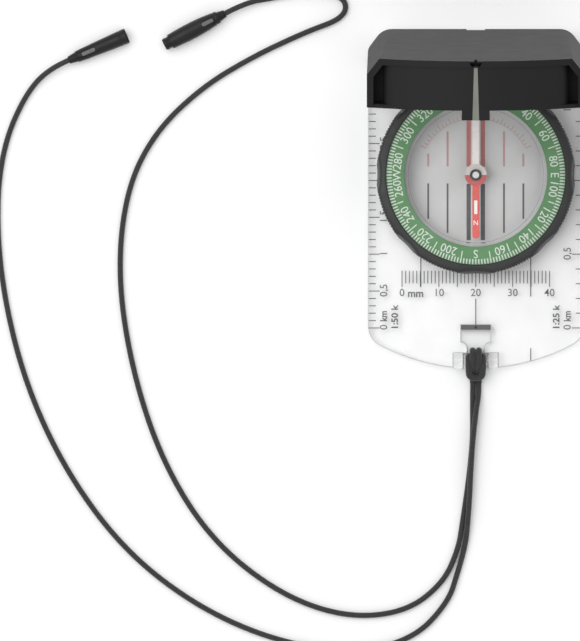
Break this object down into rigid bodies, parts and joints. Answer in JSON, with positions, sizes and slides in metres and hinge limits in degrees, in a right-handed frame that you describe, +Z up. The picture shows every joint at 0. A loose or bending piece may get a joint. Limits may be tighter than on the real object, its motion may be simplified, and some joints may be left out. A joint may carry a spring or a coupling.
{
  "type": "baseplate compass",
  "caption": "Clear baseplate compass with a turning liquid capsule, a magnetic needle, a hinged mirror lid and a two-strand neck lanyard with a release connector.",
  "frame": {"origin": "on the dial's axis, at the flat underside that lies on the map", "axes": "+Z up out of the dial, +Y along the baseplate from the lanyard to the lid hinge, +X to the right"},
  "size_m": [0.1597, 0.18, 0.0841],
  "materials": {
    "clear_base": "clear acrylic, polished",
    "clear_capsule": "clear acrylic, polished",
    "catch_grey": "dark moulded plastic",
    "lid_black": "black, fine moulded texture",
    "bezel_black": "black, fine moulded texture",
    "dial_green": "green with pale printed graduations",
    "plate_grey": "translucent grey with printed lines",
    "needle_red": "painted red and white",
    "steel": "bright steel",
    "hub_dark": "dark moulded plastic",
    "jewel": "polished jewel",
    "mirror": "polished",
    "luminous": "pale greenish grey",
    "cord_black": "round braid",
    "connector_black": "semi-matte moulded plastic"
  },
  "bodies": {
    "base": {"baseplate": "clear_base", "latch_catch": "catch_grey", "hinge_pin_left": "steel", "hinge_pin_right": "steel", "lanyard_hitch": "cord_black", "lanyard_cord_left": "cord_black", "lanyard_cord_right": "cord_black", "connector_spigot": "connector_black", "connector_socket": "connector_black"},
    "lid": {"lid_shell": "lid_black", "sight_strip": "luminous", "lid_mirror": "mirror"},
    "dial": {"bezel_ring": "bezel_black", "capsule_base": "clear_capsule", "capsule_dome": "clear_capsule", "dial_ring": "dial_green", "orienting_plate": "plate_grey", "friction_spring": "steel", "retaining_ring": "steel", "pivot_pin": "steel"},
    "needle": {"needle_blade": "needle_red", "needle_magnet": "steel", "jewel_bearing": "jewel", "needle_hub": "hub_dark"}
  },
  "joints": [
    {"name": "lid_hinge", "type": "hinge", "parent": "base", "child": "lid", "pos_m": [0, 0.0315, 0.0081], "axis": [-1, 0, 0], "range_deg": [-83.3, 96.7]},
    {"name": "dial_turn", "type": "hinge", "parent": "base", "child": "dial", "pos_m": [0, 0, 0], "axis": [0, 0, 1], "continuous": true},
    {"name": "needle_swing", "type": "hinge", "parent": "dial", "child": "needle", "pos_m": [0, 0, 0.0054], "axis": [0, 0, 1], "continuous": true}
  ]
}
